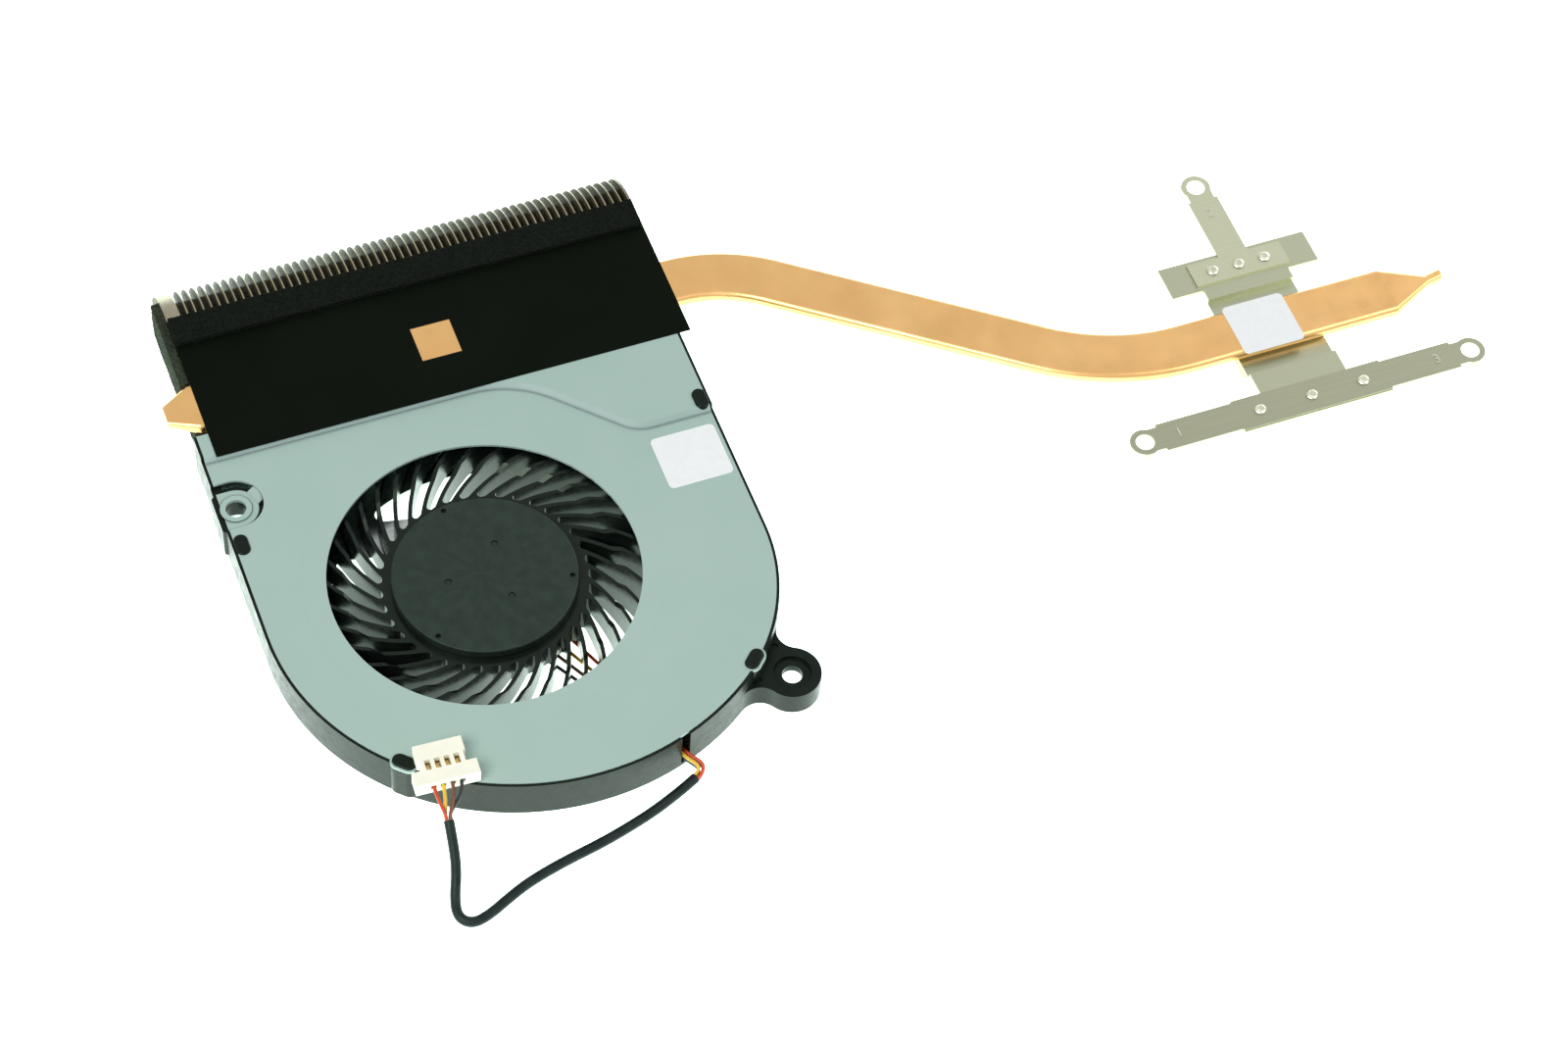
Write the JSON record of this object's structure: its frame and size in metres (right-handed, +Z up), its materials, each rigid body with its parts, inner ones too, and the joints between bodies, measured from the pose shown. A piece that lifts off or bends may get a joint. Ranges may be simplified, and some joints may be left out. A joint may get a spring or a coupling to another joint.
{
  "type": "laptop cooling module",
  "caption": "Laptop cooling module: flat blower with a bladed impeller, fin stack, flattened copper heat pipe, sprung processor bracket and a short lead with a plug.",
  "frame": {"origin": "on the floor, under the middle of the module's bounding box without its lead", "axes": "+X along the fin stack towards the bracket, +Y towards the air outlet, +Z up through the inlet"},
  "size_m": [0.1902, 0.1189, 0.0097],
  "materials": {
    "cover_grey": "satin",
    "housing_black": "matte",
    "base_sheet": "satin",
    "impeller_black": "gloss",
    "motor_steel": "satin",
    "magnet_black": "matte",
    "bearing_bronze": "satin",
    "pad_plastic": "matte",
    "board_green": "satin",
    "copper": "satin",
    "fin_metal": "satin",
    "film_black": "satin",
    "foam_black": "matte",
    "bracket_nickel": "satin",
    "label_white": "matte",
    "wire_red": "satin",
    "wire_yellow": "satin",
    "wire_brown": "satin",
    "wire_black": "satin",
    "sleeve_black": "matte",
    "plug_white": "satin",
    "contact_gold": "satin"
  },
  "bodies": {
    "root": {"fan_housing": "housing_black", "fan_cover": "cover_grey", "base_plate": "base_sheet", "bearing_post": "bearing_bronze", "bearing_sleeve": "bearing_bronze", "thrust_pad": "pad_plastic", "motor_board": "board_green", "stator_core": "motor_steel", "stator_windings": "copper", "fin_stack": "fin_metal", "heat_pipe": "copper", "cover_film": "film_black", "end_film": "film_black", "top_foam": "foam_black", "side_foam": "foam_black", "bracket": "bracket_nickel", "contact_block": "copper", "upper_arm": "bracket_nickel", "lower_arm": "bracket_nickel", "arm_rivets": "bracket_nickel", "fan_label": "label_white", "pipe_label": "label_white", "wire_black": "wire_black", "wire_brown": "wire_brown", "wire_yellow": "wire_yellow", "wire_red": "wire_red", "lead_sleeve": "sleeve_black", "plug_housing": "plug_white", "plug_contacts": "contact_gold"},
    "rotor": {"impeller": "impeller_black", "rotor_yoke": "motor_steel", "magnet_ring": "magnet_black", "rotor_shaft": "motor_steel"}
  },
  "joints": [
    {"name": "impeller_spin", "type": "hinge", "parent": "root", "child": "rotor", "pos_m": [-0.0598, -0.01513, 0], "axis": [0, 0, 1], "continuous": true}
  ]
}
